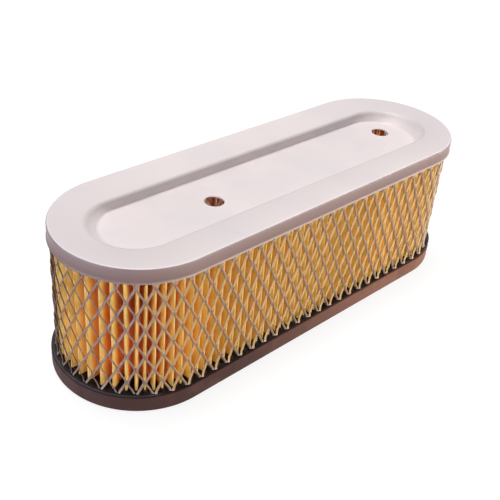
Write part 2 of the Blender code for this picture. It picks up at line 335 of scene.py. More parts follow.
class ShaderGraph:
    """Shader nodes of one material or world, added and linked by plain calls."""

    def __init__(self, owner: bpy.types.ID) -> None:
        """Start from an empty graph."""
        owner.use_nodes = True
        self.tree = owner.node_tree
        self.tree.nodes.clear()

    def add(self, kind: str, inputs: dict | None = None, **settings: object) -> bpy.types.Node:
        """Add a node.

        Args:
            kind: The node's type, without its ShaderNode prefix.
            inputs: For each input, by name or number, a value or a socket to link.
            settings: Values of the node's own fields.

        Returns:
            The node.
        """
        node = self.tree.nodes.new("ShaderNode" + kind)
        for label, value in settings.items():
            setattr(node, label, value)
        for label, value in (inputs or {}).items():
            if isinstance(value, Socket):
                self.tree.links.new(value, node.inputs[label])
            else:
                node.inputs[label].default_value = value
        return node

    def noise(self, scale: float, detail: float, stretch: Place = EVEN) -> Socket:
        """Noise between 0 and 1 on Object coordinates, stretched on each axis."""
        where = self.add("TexCoord").outputs["Object"]
        place = self.add("Mapping", {"Vector": where, "Scale": stretch}).outputs["Vector"]
        return self.add("TexNoise", {"Vector": place, "Scale": scale, "Detail": detail}).outputs[0]

    def value(self, label: str) -> Socket:
        """A value that rides on the mesh's points."""
        return self.add("Attribute", attribute_name=label).outputs["Fac"]

    def ranged(self, source: Socket, low: float, high: float, to_low: float = 0.0,
               to_high: float = 1.0) -> Socket:
        """Map a range of values to another, clipped at its ends."""
        inputs = {"Value": source, "From Min": low, "From Max": high, "To Min": to_low, "To Max": to_high}
        return self.add("MapRange", inputs, clamp=True).outputs["Result"]

    def math(self, operation: str, first: object, second: object) -> Socket:
        """Arithmetic on two values."""
        return self.add("Math", {0: first, 1: second}, operation=operation).outputs[0]

    def blend(self, share: object, first: object, second: object, mode: str = "MIX") -> Socket:
        """Blend two colours by a share."""
        colours = [(*c, 1.0) if isinstance(c, tuple) else c for c in (first, second)]
        inputs = {0: share, COLOUR_A: colours[0], COLOUR_B: colours[1]}
        return self.add("Mix", inputs, data_type="RGBA", blend_type=mode).outputs[COLOUR_OUT]

    def ramp(self, source: Socket, stops: list[tuple[float, Colour]]) -> Socket:
        """A colour ramp through stops, each a place from 0 to 1 and a colour."""
        node = self.add("ValToRGB", {"Fac": source})
        elements = node.color_ramp.elements
        while len(elements) < len(stops):
            elements.new(1.0)
        for element, (place, colour) in zip(elements, stops):
            element.position = place
            element.color = (*colour, 1.0)
        return node.outputs["Color"]

    def bump(self, height: Socket, strength: float, distance: float,
             under: Socket | None = None) -> Socket:
        """A bumped normal, on top of another where one is given."""
        inputs = {"Height": height, "Strength": strength, "Distance": distance}
        if under is not None:
            inputs["Normal"] = under
        return self.add("Bump", inputs).outputs["Normal"]

    def coated(self, colour: Socket, roughness: Socket, metallic: float = 0.0, specular: float = 0.5,
               normal: Socket | None = None) -> None:
        """End a material in a Principled shader.

        Args:
            colour: Base colour.
            roughness: Roughness.
            metallic: Share of metal.
            specular: Level of the plain reflection.
            normal: A bumped normal, or none.
        """
        inputs = {"Base Color": colour, "Roughness": roughness, "Metallic": metallic,
                  "Specular IOR Level": specular}
        if normal is not None:
            inputs["Normal"] = normal
        self.add("OutputMaterial", {"Surface": self.add("BsdfPrincipled", inputs).outputs["BSDF"]})

    def mixed(self, share: object, first: bpy.types.Node, second: bpy.types.Node,
              output: str = "OutputMaterial") -> None:
        """End a graph in a mix of two shaders by a share."""
        both = self.add("MixShader", {0: share, 1: first.outputs[0], 2: second.outputs[0]})
        self.add(output, {"Surface": both.outputs[0]})


@dataclass(frozen=True)
class Finish(ABC):
    """A surface finish."""

    name: str

    @abstractmethod
    def dress(self, graph: ShaderGraph) -> None:
        """Fill a material's graph."""

    def material(self) -> bpy.types.Material:
        """The finish as a new material."""
        made = bpy.data.materials.new(self.name)
        self.dress(ShaderGraph(made))
        return made


@dataclass(frozen=True)
class CapFinish(Finish):
    """Satin silver-white lacquer on pressed sheet, with painted shade that is darker and warmer down the rim."""

    face: Colour = (0.82, 0.74, 0.74)
    cloud: Colour = (0.755, 0.70, 0.715)
    # Painted shade: towards the face's ends, in a line just inside the recess's crest, and dark and warm down
    # the rim.
    ends: Colour = (0.72, 0.655, 0.665)
    crease: Colour = (0.58, 0.52, 0.53)
    rim_shade_high: Colour = (0.190, 0.136, 0.132)
    rim_shade_low: Colour = (0.134, 0.079, 0.065)

    def dress(self, graph: ShaderGraph) -> None:
        """Softly clouded lacquer, fine orange peel; painted shade at the ends, on the crest, warmer down the
        rim.
        """
        cloud = graph.ranged(graph.noise(38.0, 4.0), 0.42, 0.68)
        colour = graph.blend(cloud, self.face, self.cloud)
        # Painted shade, darker towards the face's ends.
        colour = graph.blend(graph.ranged(graph.value("end"), 0.45, 1.0), colour, self.ends)
        # Painted shade in a line just inside the recess's crest.
        colour = graph.blend(graph.value("crease"), colour, self.crease)
        # Painted shade down the rim, darker and warmer than the face.
        rim = graph.blend(graph.value("drop"), self.rim_shade_high, self.rim_shade_low)
        colour = graph.blend(graph.value("side"), colour, rim)
        grain = graph.noise(900.0, 2.0)
        roughness = graph.ranged(graph.noise(120.0, 3.0), 0.3, 0.7, 0.42, 0.52)
        peel = graph.bump(grain, 0.10, 0.0002)
        graph.coated(colour, roughness, metallic=0.05, specular=0.25, normal=peel)


@dataclass(frozen=True)
class StrandFinish(Finish):
    """Dull zinc on cut and stretched sheet."""

    bright: Colour
    dull: Colour
    # Painted glint on the strands' lower ends.
    end_glint: Colour = (0.56, 0.51, 0.51)
    # Painted light on the strands: a warm reflection of the paper, a lit face and a shade edge.
    warm: Colour = (0.41, 0.245, 0.090)
    light: Colour = (0.40, 0.250, 0.140)
    shade: Colour = (0.085, 0.052, 0.036)
    cut_share: float = 0.55
    painted_light_share: float = 0.85

    def dress(self, graph: ShaderGraph) -> None:
        """Zinc that clouds along the strands, with darker cut edges and painted glints on the lower ends.

        On the long sides the strands that lean one way carry a painted warm reflection of the paper, and those
        that lean the other way a painted lit face with one painted shade edge; at the round ends these carry
        painted shade.
        """
        cloud = graph.ranged(graph.noise(420.0, 3.0), 0.35, 0.65)
        colour = graph.blend(cloud, self.bright, self.dull)
        # Over the zinc: darker cut edges, then a painted warm reflection, lit face, shade edge and end glints.
        layers = (("cut", self.cut_share, self.dull), ("warm", self.painted_light_share, self.warm),
                  ("light", 1.0, self.light), ("shade", self.painted_light_share, self.shade), ("end", 1.0, self.end_glint))
        for label, share, tint in layers:
            colour = graph.blend(graph.math("MULTIPLY", graph.value(label), share), colour, tint)
        roughness = graph.ranged(graph.noise(700.0, 2.0), 0.3, 0.7, 0.48, 0.62)
        drawn = graph.bump(graph.noise(1500.0, 2.0, (1.0, 1.0, 0.2)), 0.15, 0.0001)
        graph.coated(colour, roughness, metallic=0.12, specular=0.45, normal=drawn)


@dataclass(frozen=True)
class PaperFinish(Finish):
    """Resin-treated cellulose with painted shade: amber and toned down on the folds' tips, redder down in the
    valleys.
    """

    tip: Colour = (0.78, 0.60, 0.265)
    flank: Colour = (0.985, 0.85, 0.315)
    valley: Colour = (0.90, 0.445, 0.150)
    root: Colour = (0.80, 0.50, 0.41)
    through: float = 0.50

    def dress(self, graph: ShaderGraph) -> None:
        """Fibres run up the paper; the resin is mottled, and painted shade darkens and reddens it with depth."""
        # Painted shade by depth: tips darker than the flanks, redder and darker down the valleys, paler again at
        # the root.
        stops = [(0.0, self.tip), (0.07, self.flank), (0.40, self.valley), (1.0, self.root)]
        colour = graph.ramp(graph.value("depth"), stops)
        mottle = graph.ranged(graph.noise(170.0, 4.0), 0.3, 0.7, 0.0, 0.35)
        colour = graph.blend(mottle, colour, (0.90, 0.80, 0.62), "MULTIPLY")
        fibre = graph.noise(2600.0, 3.0, (1.0, 1.0, 0.25))
        colour = graph.blend(graph.ranged(fibre, 0.55, 0.75, 0.0, 0.25), colour, (1.0, 0.74, 0.32))
        felt = graph.bump(fibre, 0.25, 0.00012)
        inputs = {"Base Color": colour, "Roughness": 0.62, "Specular IOR Level": 0.35, "Normal": felt}
        sheet = graph.add("BsdfPrincipled", inputs)
        glow = graph.add("BsdfTranslucent", {"Color": colour})
        graph.mixed(self.through, sheet, glow)


@dataclass(frozen=True)
class CompoundFinish(Finish):
    """Cured black potting compound with a dusting of lint."""

    body: Colour = (0.012, 0.010, 0.011)
    dust: Colour = (0.060, 0.047, 0.047)

    def dress(self, graph: ShaderGraph) -> None:
        """Dark body, dust in patches and a gently lumpy skin."""
        dust = graph.ranged(graph.noise(330.0, 5.0), 0.52, 0.74, 0.0, 0.8)
        colour = graph.blend(dust, self.body, self.dust)
        roughness = graph.ranged(graph.noise(150.0, 3.0), 0.3, 0.7, 0.45, 0.70)
        skin = graph.bump(graph.noise(260.0, 3.0), 0.35, 0.0004)
        graph.coated(colour, roughness, specular=0.25, normal=skin)


@dataclass(frozen=True)
class RubberFinish(Finish):
    """Matt brown moulded rubber."""

    body: Colour = (0.046, 0.022, 0.019)
    bloom: Colour = (0.075, 0.039, 0.031)
    stain: Colour = (0.030, 0.015, 0.014)
    # Painted light, paler towards the far end.
    far_light: Colour = (0.175, 0.082, 0.055)

    def dress(self, graph: ShaderGraph) -> None:
        """Brown body with pale bloom, painted light towards the far end, darker stains and a fine moulded grain.
        """
        bloom = graph.ranged(graph.noise(90.0, 5.0), 0.45, 0.75)
        colour = graph.blend(bloom, self.body, self.bloom)
        # Painted light towards the far end.
        colour = graph.blend(graph.value("far"), colour, self.far_light)
        stain = graph.ranged(graph.noise(45.0, 4.0), 0.52, 0.78, 0.0, 0.8)
        colour = graph.blend(stain, colour, self.stain)
        grain = graph.noise(1400.0, 3.0)
        roughness = graph.ranged(graph.noise(300.0, 2.0), 0.3, 0.7, 0.60, 0.78)
        skin = graph.bump(grain, 0.25, 0.0002, graph.bump(graph.noise(210.0, 2.0), 0.25, 0.0004))
        graph.coated(colour, roughness, specular=0.10, normal=skin)


@dataclass(frozen=True)
class ClipFinish(Finish):
    """Bare folded steel strip."""

    bright: Colour = (0.58, 0.56, 0.54)
    dull: Colour = (0.36, 0.34, 0.33)

    def dress(self, graph: ShaderGraph) -> None:
        """Drawn steel with marks along its length."""
        mark = graph.ranged(graph.noise(900.0, 3.0, (1.0, 1.0, 0.06)), 0.4, 0.65)
        colour = graph.blend(mark, self.bright, self.dull)
        roughness = graph.ranged(mark, 0.0, 1.0, 0.28, 0.45)
        graph.coated(colour, roughness, metallic=0.9)


class Piece(ABC):
    """One piece of the cartridge: a surface, its finish and the solid that it stands for."""

    name: str
    node: str
    slot: Slot
    finish: Finish
    sharp: float = 40.0

    def __post_init__(self) -> None:
        """Read the solid's outline, half width and heights from the frame."""
        solid = Extent.of(self.node)
        self.outline, self.radius = solid.outline, solid.radius
        self.bottom, self.top = solid.bottom, solid.top

    @abstractmethod
    def surface(self) -> Surface:
        """The piece's closed surface."""

    def make(self) -> bpy.types.Object:
        """Build the mesh, dress it and tie it to the frame.

        Returns:
            The finished object.
        """
        piece = self.surface().outward().object(self.name, self.finish.material(), self.sharp)
        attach(piece, BODY)
        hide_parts(self.node)
        log.info("%s: %d points, %d quads", self.name, len(piece.data.vertices), len(piece.data.polygons))
        return piece


@dataclass
class SteelCap(Piece):
    """Pressed cap: a rim turned out at its lower edge, a flat face, a recess and two stud holes."""

    sheet: float = 0.0005
    corner: float = 0.0009
    hem_turn: float = 0.00028
    hem_height: float = 0.0009
    # Share of the rim's painted shade that gives way to a painted highlight along the hem.
    hem_highlight: float = 0.18
    recess_margin: float = 0.0146
    recess_end_margin: float = 0.0119
    recess_back: float = 0.0008
    recess_side: float = 0.0014
    recess_slant: float = 0.006
    recess_depth: float = 0.0045
    crest_round: float = 0.0015
    foot_round: float = 0.0004
    wall_lean: float = 87.0
    end_wall: float = 0.0074
    # The painted shade line: how far inside the crest, and how wide.
    crest_shade_in: float = 0.0006
    crest_shade_width: float = 0.0006
    stud_hole: float = 0.0079
    stud_end: float = 0.0302
    stud_spacing: float = 0.1073
    stud_stagger: float = 0.0015
    hole_edge: float = 0.0003
    # Where the rim's painted shade begins over the edge, and where the hem's painted highlight begins and fades.
    edge_fade: float = 0.4
    hem_from: float = 0.9
    hem_fade: float = 0.4
    # The painted shade line's share, and where it fades out round the ends.
    crest_shade_share: float = 0.85
    crest_shade_turn: float = 0.2
    bend_points: int = 10
    edge_points: int = 11
    rim_points: int = 16
    divide_points: int = 29
    roll_points: int = 5
    arc_steps: int = 72
    side_step: float = 0.0010
    name, node, slot = "steel_cap", "top_end_cap", Slot.CAP
    finish, sharp = CapFinish("silver_lacquer"), 42.0

    def __post_init__(self) -> None:
        """Work out the recess's wall and the stud holes' places."""
        super().__post_init__()
        self.floor = self.top - self.recess_depth
        self.lean = math.radians(self.wall_lean)
        rounds = self.crest_round + self.foot_round
        plain = self.recess_depth - rounds * (1 - math.cos(self.lean))
        self.wall = rounds * math.sin(self.lean) + plain / math.tan(self.lean)
        self.crest = self.radius - self.recess_margin
        self.foot = self.crest - self.wall
        far = self.outline.middle + self.outline.half_straight + self.radius - self.stud_end
        self.far_stud = np.array([far, self.stud_stagger])
        self.near_stud = np.array([far - self.stud_spacing, -self.stud_stagger])
        self.split = far - self.stud_spacing / 2

    def line(self) -> Array:
        """The sheet's upper side, from the recess's foot out over the face and down the rim.

        The recess's wall is an arc at its foot, a straight slope and an arc at its crest.  The edge is a
        quarter circle, and the rim's last stretch turns out by a smooth step.

        Returns:
            Points of radius and height.
        """
        bend = np.linspace(0.0, self.lean, self.bend_points)
        start = np.array([[self.foot - self.sheet, self.floor]])
        foot = arc((self.foot, self.floor + self.foot_round), self.foot_round, bend - SQUARE)
        crest = arc((self.crest, self.top - self.crest_round), self.crest_round, bend[::-1] + SQUARE)
        turn = np.linspace(SQUARE, 0.0, self.edge_points)
        edge = arc((self.radius - self.corner, self.top - self.corner), self.corner, turn)
        drop = np.linspace(self.top - self.corner, self.bottom, self.rim_points + 1)[1:]
        out = self.hem_turn * smooth_step((self.bottom + self.hem_height - drop) / self.hem_height)
        rim = stacked(self.radius + out, drop)
        return np.concatenate([start, foot, crest, edge, rim])

    def ring_stations(self) -> tuple[Stations, int]:
        """Stations round the cap, even on each straight and arc, with one at each end of the dividing line.

        Returns:
            The stations, starting on the +Y side at the dividing line, and how many belong to the near half.
        """
        split = self.split - self.outline.middle
        near, far = self.outline.half_straight + split, self.outline.half_straight - split
        near_steps, far_steps = round(near / self.side_step), round(far / self.side_step)
        steps = [near_steps, self.arc_steps, near_steps, far_steps, self.arc_steps, far_steps]
        turn = math.pi * self.radius
        ends = np.cumsum([0, *steps])
        distance = np.interp(np.arange(ends[-1]), ends, np.cumsum([-split, near, turn, near, far, turn, far]))
        return self.outline.along(distance, self.radius), ends[len(steps) // 2] + 1

    def placed(self, profile: Array, upper: Array, stations: Stations) -> Array:
        """The profile carried round the cap, with its recess off the cap's middle and gentler at the ends.

        The recess moves by its place and slant on the cap, and its ends by the difference of the margins.
        Over the face these moves fade linearly to none at the edge.  At the ends the wall's height falls as
        half a cosine wave over the end wall's width, so its inward reach is the arc cosine of one less twice
        the fall, over pi.

        Args:
            profile: Points of radius and height.
            upper: The point of the sheet's upper side that belongs to each of them.
            stations: Places round the cap.

        Returns:
            Points, profile by stations by 3.
        """
        reach = upper[:, :1]
        fall = np.clip((self.top - upper[:, 1:]) / self.recess_depth, 0.0, 1.0)
        inside = np.interp(reach, [self.crest, self.radius - self.corner], [1.0, 0.0])
        inward = np.clip(self.crest - reach, 0.0, self.wall)
        gentle = self.end_wall * np.arccos(1 - 2 * fall) / math.pi - inward
        gentle = np.where(reach < self.crest, gentle, 0.0)
        from_middle = stations.spine - self.outline.middle
        along = from_middle / self.outline.half_straight
        points = stations.points(profile[:, :1], profile[:, 1:])
        points[..., 0] += inside * ((self.recess_margin - self.recess_end_margin) * along - self.recess_back)
        points[..., 0] -= gentle * along
        points[..., 1] -= inside * (self.recess_side + self.recess_slant * from_middle)
        return points

    # The share of painted shade towards the face's ends.
    def endness(self, points: Array) -> Array:
        """Distance of points from the face's middle over half its length, fading to none in the recess."""
        reach = np.abs(points[..., 0] - self.outline.middle) / (self.outline.half_straight + self.radius)
        return reach * smooth_step((points[..., 2] - self.floor) / self.recess_depth)

    def recess_floor(self, stud: Array, outline: Array) -> Surface:
        """One half of the recess's floor, as loops from its outline to the stud hole and back underneath.

        Each point of the outline has a partner on the hole's edge in the same direction from its centre.  The
        edge rolls over a quarter circle into the hole's wall.

        Args:
            stud: The middle of its stud hole.
            outline: The half's outline at floor level, count by 2, closed.

        Returns:
            The half's surface, open along its outline.
        """
        away = outline - stud
        away /= np.linalg.norm(away, axis=1, keepdims=True)
        roll = np.linspace(0.0, SQUARE, self.roll_points)
        reach = self.stud_hole / 2 + self.hole_edge * (1 - np.sin(roll))
        drop = self.floor - self.hole_edge * (1 - np.cos(roll))
        reach = np.append(reach, self.stud_hole / 2)
        drop = np.append(drop, self.floor - self.sheet)
        hole = stud + reach[:, None, None] * away
        flat = np.concatenate([outline[None], hole, outline[None]])
        z = np.concatenate([[self.floor], drop, [self.floor - self.sheet]])[:, None]
        points = stacked(flat[..., 0], flat[..., 1], z)
        none = dict.fromkeys(("side", "drop", "crease"), np.zeros((1, 1)))
        return Surface.grid(points, wrap_columns=True, **none, end=self.endness(points))

    def surface(self) -> Surface:
        """The pressed sheet round the recess, and the recess's floor in two halves.

        The rim's painted shade comes in over the edge by a smooth step, and gives way a little to a painted
        highlight on the hem along the sides, by the square of the outward direction's y.  A painted shade line
        is a bell just inside the crest.

        Returns:
            The cap's surface.
        """
        upper = self.line()
        lower = offset_line(upper, -self.sheet)[::-1]
        profile = np.concatenate([upper, lower])
        stations, count = self.ring_stations()
        down = self.top - upper[:, 1]
        # Painted shade on the rim, giving way to a painted highlight on the hem along the sides.
        side = smooth_step(down / (self.edge_fade * self.corner)) * (upper[:, 0] > self.radius - self.corner)
        hem_top = self.bottom + self.hem_from * self.hem_height
        hem = smooth_step((hem_top - upper[:, 1]) / (self.hem_fade * self.hem_height))
        both = np.concatenate([np.arange(len(upper)), np.arange(len(upper))[::-1]])
        side = side[both, None] * (1 - self.hem_highlight * hem[both, None] * np.square(stations.across_y))
        drop = (down / (self.top - self.bottom))[both, None]
        # A painted shade line just inside the crest, on the -Y side and fading out round the ends.
        crease = bell(upper[:, 0] - self.crest + self.crest_shade_in, self.crest_shade_width)
        crease = self.crest_shade_share * (crease * (upper[:, 1] > self.floor))[both, None]
        crease = crease * smooth_step(self.crest_shade_turn - stations.across_y)
        points = self.placed(profile, upper[both], stations)
        ring = Surface.grid(points, wrap_columns=True, side=side, drop=drop, crease=crease,
                            end=self.endness(points))
        foot = points[0, :, :2]
        divide = np.linspace(foot[count - 1], foot[0], self.divide_points + 2)[1:-1]
        near = np.concatenate([foot[:count], divide])
        far = np.concatenate([foot[count - 1:], foot[:1], divide[::-1]])
        halves = [self.recess_floor(self.near_stud, near), self.recess_floor(self.far_stud, far)]
        turned = [Surface(half.points, half.quads[:, ::-1], half.values) for half in halves]
        return Surface.joined([ring, *turned]).welded()


@dataclass
class ExpandedSleeve(Piece):
    """A sleeve of expanded metal: upright ribbons that zigzag and meet their neighbours at bonds.

    Ribbon k lies between the lines k and k + 1, half a diamond apart.  It touches them in turn, a row at a
    time.  The ribbons are tilted about the upright, so that each pair at a bond is one slanted plate.
    """

    name: str
    node: str
    slot: Slot
    columns: int
    row_height: float
    first_row: float
    first_tip: float
    strand: float
    sheet: float
    tilt: float
    bond: float
    finish: Finish
    samples: int = 8
    edge: float = 0.00007
    overlap: float = 0.06
    splay: float = 0.0
    splay_height: float = 0.0028
    ease: float = 0.25
    full_lean: float = 0.25
    straight_from: float = 0.75
    # Painted shade on strands that lean downhill: its share at the edge's chamfer, its share at the round ends,
    # and how wide it fades in there.
    edge_shade: float = 0.90
    turn_shade: float = 0.7
    turn_width: float = 0.6
    # How many levels up from a ribbon's lower end the painted glint reaches.
    glint_levels: int = 2
    sharp: float = 35.0

    def __post_init__(self) -> None:
        """Find the radius half way through the sheet."""
        super().__post_init__()
        self.middle_radius = self.radius - self.sheet / 2

    def swing(self, row: Array) -> Array:
        """Place of a ribbon between its two lines, from 0 to 1, by row.

        It rests on a line for the length of a bond, then crosses over in an eased straight line.

        Args:
            row: Row numbers, not only whole ones.

        Returns:
            The place at each.
        """
        fraction = np.abs(np.mod(row, 2.0) - 1.0)
        crossing = np.clip((1.0 - fraction - self.bond / 2) / (1.0 - self.bond), 0.0, 1.0)
        return (1 - self.ease) * crossing + self.ease * smooth_step(crossing)

    def section(self) -> Array:
        """The ribbon's section: a flat bar with its corners cut, as width and thickness offsets."""
        wide, thin = self.strand / 2, self.sheet / 2
        wide_in, thin_in = wide - self.edge, thin - self.edge
        return np.array([(wide, thin_in), (wide_in, thin), (-wide_in, thin), (-wide, thin_in),
                         (-wide, -thin_in), (-wide_in, -thin), (wide_in, -thin), (wide, -thin_in)])

    def surface(self) -> Surface:
        """All ribbons as one set of capped bars.

        A ribbon's line runs at (k + place) half pitches along the outline.  Its width points square to that
        line in the sleeve's wall, turned out by the tilt, and its thickness square to both.  The painted light
        and shade go by the line's lean, and by how straight along the length the wall runs.

        Returns:
            The sleeve's surface.
        """
        tilt = math.radians(self.tilt)
        half = self.outline.perimeter(self.middle_radius) / (2 * self.columns)
        rows = (self.top - self.first_row) / self.row_height
        row = np.linspace(0.0, rows, round(rows * self.samples) + 1)[None, :]
        ribbon = np.arange(2 * self.columns)[:, None]
        room = self.strand * (1 - self.overlap)
        level_room = room * math.cos(tilt)
        place = self.swing(row + np.mod(ribbon, 2))
        along = self.first_tip + ribbon * half + level_room / 2 + place * (half - level_room)
        z = self.first_row + row * self.row_height + np.zeros_like(along)
        out = self.middle_radius + (0.5 - place) * room * math.sin(tilt)
        out += self.splay * smooth_step((self.first_row + self.splay_height - z) / self.splay_height)
        lean = np.gradient(along, axis=1) / np.gradient(z, axis=1)
        size = np.hypot(1.0, lean)
        wide, thin = self.section().T
        level = wide * math.cos(tilt) - thin * math.sin(tilt)
        depth = wide * math.sin(tilt) + thin * math.cos(tilt)
        along = along[..., None] + level / size[..., None]
        z = z[..., None] - level * (lean / size)[..., None]
        radius = out[..., None] + depth
        stations = self.outline.along(along, self.middle_radius)
        start = self.straight_from
        straight = smooth_step((np.abs(stations.across_y) - start) / (1 - start))
        # Painted light and shade by lean: a warm reflection uphill, a lit face and a shade edge downhill.
        uphill = np.clip(lean / self.full_lean, -1.0, 1.0)[..., None]
        downhill = np.maximum(-uphill, 0.0)
        limits = [-self.strand / 2, self.edge - self.strand / 2, self.strand / 2]
        edge = np.interp(wide, limits, [1.0, self.edge_shade, 0.0])
        turned = smooth_step((stations.across_y + start) / self.turn_width) * (1 - straight)
        shade = downhill * np.maximum(straight * edge, self.turn_shade * turned)
        return self.capped(stations.points(radius, z), warm=np.maximum(uphill, 0.0) * straight,
                           light=downhill * straight * (1 - edge), shade=shade)

    def capped(self, points: Array, **painted_light: Array) -> Surface:
        """Close each ribbon: sides between its sections, and its two ends.

        Args:
            points: Ribbons by sections by eight corners by 3.
            painted_light: Shares of the strands' painted light and shade colours at each point, by name.

        Returns:
            The closed surface, with values that mark the cut edges, the painted glints on the lower ends, and
            the painted light and shade.
        """
        ribbons, levels, corners = points.shape[:3]
        cut = np.array([1.0, 0.0, 0.0, 1.0, 1.0, 0.0, 0.0, 1.0])[None, :]
        # Painted glint on the lowest levels of each ribbon.
        end = smooth_step(1.0 - np.arange(levels) / self.glint_levels)
        flat = Surface.grid(points.reshape(ribbons * levels, corners, 3), wrap_columns=True, cut=cut,
                            end=np.tile(end, ribbons)[:, None],
                            **{name: share.reshape(-1, corners) for name, share in painted_light.items()})
        sides = flat.quads.reshape(-1, corners, 4)
        kept = np.mod(np.arange(len(sides)), levels) != levels - 1
        lid = np.array([(0, 1, 2, 3), (0, 3, 4, 7), (4, 5, 6, 7)])
        starts = (np.arange(ribbons) * levels * corners)[:, None, None]
        bottom = (starts + lid[:, ::-1]).reshape(-1, 4)
        top = (starts + (levels - 1) * corners + lid).reshape(-1, 4)
        flat.quads = np.concatenate([sides[kept].reshape(-1, 4), bottom, top])
        return flat


@dataclass
class Pleats(Piece):
    """Filter paper in a closed loop of folds, round at their tips and roots."""

    count: int = 126
    paper: float = 0.00036
    fold: float = 0.00014
    reach: float = 0.0006
    lag: float = 0.224
    bunch: float = 1.014
    bunch_fold: float = 36.0
    bunch_width: float = 3.68
    stray: float = 0.00016
    twist: float = 0.7
    wave: float = 0.5
    sink: float = 0.0006
    levels: int = 9
    root_points: int = 5
    tip_points: int = 13
    wall_points: int = 4
    name, node, slot = "paper_pleats", "pleated_media", Slot.PAPER
    finish, sharp = PaperFinish("amber_paper"), 60.0

    def __post_init__(self) -> None:
        """Lay the folds between the two sleeves, on the base's outline."""
        super().__post_init__()
        self.outline = Extent.of("base_gasket").outline
        self.tip = self.radius + self.reach
        self.root = Extent.of("inner_screen").radius + self.paper / 2
        self.bottom -= self.sink
        self.top += self.sink
        self.middle = (self.tip + self.root) / 2
        self.pitch = self.outline.perimeter(self.middle) / self.count

    def flank_angle(self) -> float:
        """Angle of a fold's wall from straight out: the inner tangent of the tip's and the root's circles."""
        drop = self.tip - self.root - self.paper - 2 * self.fold
        span = math.hypot(self.pitch / 2, drop)
        return math.atan2(self.pitch / 2, drop) - math.asin(2 * self.fold / span)

    def template(self) -> tuple[Array, Array, Array]:
        """One fold from root to root: half an arc, a straight wall, the tip's arc, and back again.

        Returns:
            Offset along the pack, radius, and the angle of the outward normal from straight out.
        """
        steep = SQUARE - self.flank_angle()
        root_arc = np.linspace(0.0, -steep, self.root_points)
        tip_arc = np.linspace(-steep, steep, self.tip_points)
        outer = self.tip - self.paper / 2 - self.fold
        inner = self.root + self.paper / 2 + self.fold
        left = arc((-self.pitch / 2, inner), self.fold, -SQUARE - root_arc).T
        crest = arc((0.0, outer), self.fold, SQUARE - tip_arc).T
        share = np.linspace(0.0, 1.0, self.wall_points + 2)[1:-1]
        wall = left[:, -1:] + (crest[:, :1] - left[:, -1:]) * share
        half = np.concatenate([left, wall], axis=1)
        mirrored = half[:, :0:-1] * np.array([[-1.0], [1.0]])
        normal = np.concatenate([root_arc, np.full(len(share), -steep)])
        line = np.concatenate([half, crest, mirrored], axis=1)
        return line[0], line[1], np.concatenate([normal, tip_arc, -normal[:0:-1]])

    def tip_places(self, fold: Array) -> Array:
        """Distance of a fold's tip: even steps, a lag that swells half way round and a bunch at one end."""
        lag = self.lag * (1 - np.cos(2 * math.pi * fold / self.count)) / 2
        return self.pitch * (fold + lag + self.bunch * bell(fold - self.bunch_fold, self.bunch_width))

    def surface(self) -> Surface:
        """The paper as a wall between its two faces, with each tip a little out of true.

        A tip strays by a random shift, a twist as a cosine of the height and a wave as a sine of twice it.
        The stray grows from none at the root by a smooth step.

        Returns:
            The paper's surface.
        """
        offset, radius, normal = self.template()
        rng = np.random.default_rng(SEED)
        fold = np.arange(self.count)[None, :, None]
        up = np.linspace(0.0, 1.0, self.levels)[:, None, None]
        wander = rng.normal(size=(3, 1, self.count, 1)) * self.stray
        twist = self.twist * wander[1] * np.cos(math.pi * up)
        sway = wander[0] + twist + self.wave * wander[2] * np.sin(2 * math.pi * up)
        held = smooth_step((radius - self.root) / (self.tip - self.root))[None, None, :]
        step = np.gradient(self.tip_places(np.arange(-1, self.count + 1)))[1:-1] / self.pitch
        along = self.tip_places(fold) + offset * step[None, :, None] + sway * held
        shrink = np.abs(rng.normal(size=(1, self.count, 1))) * self.stray * held
        z = self.bottom + (self.top - self.bottom) * up + np.zeros_like(along)
        # Depth carries the paper's painted shade, from the tip to the root.
        depth = np.clip((self.tip - radius) / (self.tip - self.root), 0.0, 1.0)
        depth = np.tile(depth, self.count)[None, :]
        faces = []
        for side in (0.5, -0.5):
            place = self.outline.along(along + side * self.paper * np.sin(normal), self.middle)
            points = place.points(radius + side * self.paper * np.cos(normal) - shrink, z)
            faces.append(points.reshape(self.levels, -1, 3))
        return Surface.shell(faces[0], faces[1], wrap=True, depth=depth)


@dataclass
class SeamStrip(Piece):
    """Folded strip that grips the paper's two ends, astride the fold at the middle of the +Y side."""

    sheet: float = 0.0003
    crest_share: float = 0.62
    crest_points: int = 17
    leg_points: int = 7
    levels: int = 12
    name, node, slot = "seam_strip", "media_seam_clip", Slot.CLIP
    finish = ClipFinish("bare_strip")

    def surface(self) -> Surface:
        """A round crest with two legs that spread to the box's width: a half circle and two lines.

        Returns:
            The strip's surface.
        """
        low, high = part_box(self.node)
        wide = (high.x - low.x) / 2
        crest = self.crest_share * wide
        turn = np.linspace(math.pi, 0.0, self.crest_points)
        legs = np.linspace(0.0, 1.0, self.leg_points + 1)[:-1]
        rise = high.y - crest - low.y
        left = stacked((wide - crest) * legs - wide, low.y + rise * legs)
        right = left[::-1] * np.array([-1.0, 1.0])
        outer = np.concatenate([left, arc((0.0, low.y + rise), crest, turn), right])
        inner = offset_line(outer, -self.sheet)
        z = np.linspace(low.z, high.z, self.levels)[:, None]
        walls = [stacked(line[:, 0], line[:, 1], z) for line in (outer, inner)]
        return Surface.shell(walls[0], walls[1], wrap=False)


@dataclass(frozen=True)
class Overflow:
    """Where the compound ran over the base's wall: full at the far end and in part at the near end."""

    start: float = 0.074
    length: float = 0.020
    near: float = 0.45

    def share(self, stations: Stations, radius: float) -> Array:
        """Share of the overflow at each station, from 0 to 1.

        Args:
            stations: Places along the base.
            radius: Radius of the base's wall.

        Returns:
            The shares.
        """
        along = stations.spine + radius * stations.across_x
        far = smooth_step((along - self.start) / self.length)
        return far + self.near * smooth_step((-along - self.start) / self.length)


